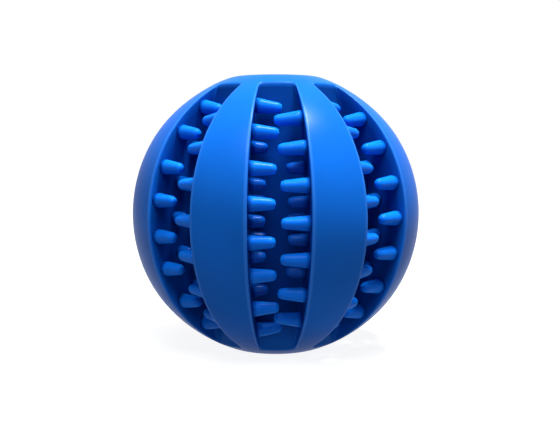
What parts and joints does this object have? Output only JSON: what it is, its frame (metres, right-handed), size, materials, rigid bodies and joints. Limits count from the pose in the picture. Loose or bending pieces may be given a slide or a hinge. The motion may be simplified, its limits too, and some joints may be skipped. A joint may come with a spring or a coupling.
{
  "type": "rubber chew ball",
  "caption": "Rubber pet chew ball with upright slots, ribs and meshing rows of tapered teeth that hold treats and rub teeth clean; it stands on its flattened poles.",
  "frame": {"origin": "centre of the ball", "axes": "+Z along the pole axis, out through the upper flat; -Y out through the middle of the front slot"},
  "size_m": [0.0686, 0.0686, 0.0658],
  "materials": {
    "core_rubber": "satin moulded rubber",
    "rib_rubber": "satin moulded rubber",
    "teeth_rubber": "satin moulded rubber"
  },
  "bodies": {
    "root": {"core": "core_rubber", "rib_1": "rib_rubber", "rib_2": "rib_rubber", "rib_3": "rib_rubber", "rib_4": "rib_rubber", "rib_5": "rib_rubber", "rib_6": "rib_rubber", "rib_7": "rib_rubber", "rib_8": "rib_rubber", "rib_1_left_teeth": "teeth_rubber", "rib_2_left_teeth": "teeth_rubber", "rib_3_left_teeth": "teeth_rubber", "rib_4_left_teeth": "teeth_rubber", "rib_5_left_teeth": "teeth_rubber", "rib_6_left_teeth": "teeth_rubber", "rib_7_left_teeth": "teeth_rubber", "rib_8_left_teeth": "teeth_rubber", "rib_1_right_teeth": "teeth_rubber", "rib_2_right_teeth": "teeth_rubber", "rib_3_right_teeth": "teeth_rubber", "rib_4_right_teeth": "teeth_rubber", "rib_5_right_teeth": "teeth_rubber", "rib_6_right_teeth": "teeth_rubber", "rib_7_right_teeth": "teeth_rubber", "rib_8_right_teeth": "teeth_rubber"}
  },
  "joints": []
}
